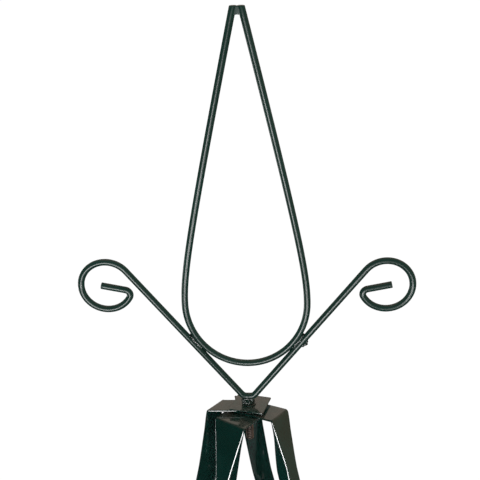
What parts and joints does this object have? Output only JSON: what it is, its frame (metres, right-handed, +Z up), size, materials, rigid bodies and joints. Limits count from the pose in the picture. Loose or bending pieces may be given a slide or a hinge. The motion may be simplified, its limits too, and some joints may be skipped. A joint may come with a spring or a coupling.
{
  "type": "garden obelisk",
  "caption": "Tall four-legged steel obelisk for climbing plants, with square hoops and a teardrop and scroll finial bolted on top.",
  "frame": {"origin": "on the ground, midway between the four feet", "axes": "+Z up the middle; the sides of the square plan lie along X and Y, and the finial faces about -Y"},
  "size_m": [0.52, 0.52, 1.5986],
  "materials": {
    "green_paint": "gloss dark green enamel over steel",
    "bolt_steel": "dull zinc-plated steel, browned",
    "foot_plastic": "matt dark green plastic"
  },
  "bodies": {
    "root": {"finial_washer": "green_paint", "crown_plate": "green_paint", "leg_upper_left": "green_paint", "leg_lower_left": "green_paint", "leg_upper_right": "green_paint", "leg_lower_right": "green_paint", "leg_upper_front": "green_paint", "leg_lower_front": "green_paint", "leg_upper_back": "green_paint", "leg_lower_back": "green_paint", "hoop_upper": "green_paint", "hoop_middle": "green_paint", "hoop_lower": "green_paint", "crown_lower_washer": "bolt_steel", "screw_upper_left": "bolt_steel", "nut_upper_left": "bolt_steel", "screw_upper_right": "bolt_steel", "nut_upper_right": "bolt_steel", "screw_upper_front": "bolt_steel", "nut_upper_front": "bolt_steel", "screw_upper_back": "bolt_steel", "nut_upper_back": "bolt_steel", "screw_middle_left": "bolt_steel", "nut_middle_left": "bolt_steel", "screw_middle_right": "bolt_steel", "nut_middle_right": "bolt_steel", "screw_middle_front": "bolt_steel", "nut_middle_front": "bolt_steel", "screw_middle_back": "bolt_steel", "nut_middle_back": "bolt_steel", "screw_lower_left": "bolt_steel", "nut_lower_left": "bolt_steel", "screw_lower_right": "bolt_steel", "nut_lower_right": "bolt_steel", "screw_lower_front": "bolt_steel", "nut_lower_front": "bolt_steel", "screw_lower_back": "bolt_steel", "nut_lower_back": "bolt_steel", "foot_left": "foot_plastic", "foot_right": "foot_plastic", "foot_front": "foot_plastic", "foot_back": "foot_plastic"},
    "finial": {"finial_loop": "green_paint", "finial_v_bar": "green_paint", "finial_bolt": "bolt_steel", "crown_nut": "bolt_steel"}
  },
  "joints": [
    {"name": "finial_turn", "type": "hinge", "parent": "root", "child": "finial", "pos_m": [0, 0, 1.21], "axis": [0, 0, 1], "continuous": true}
  ]
}
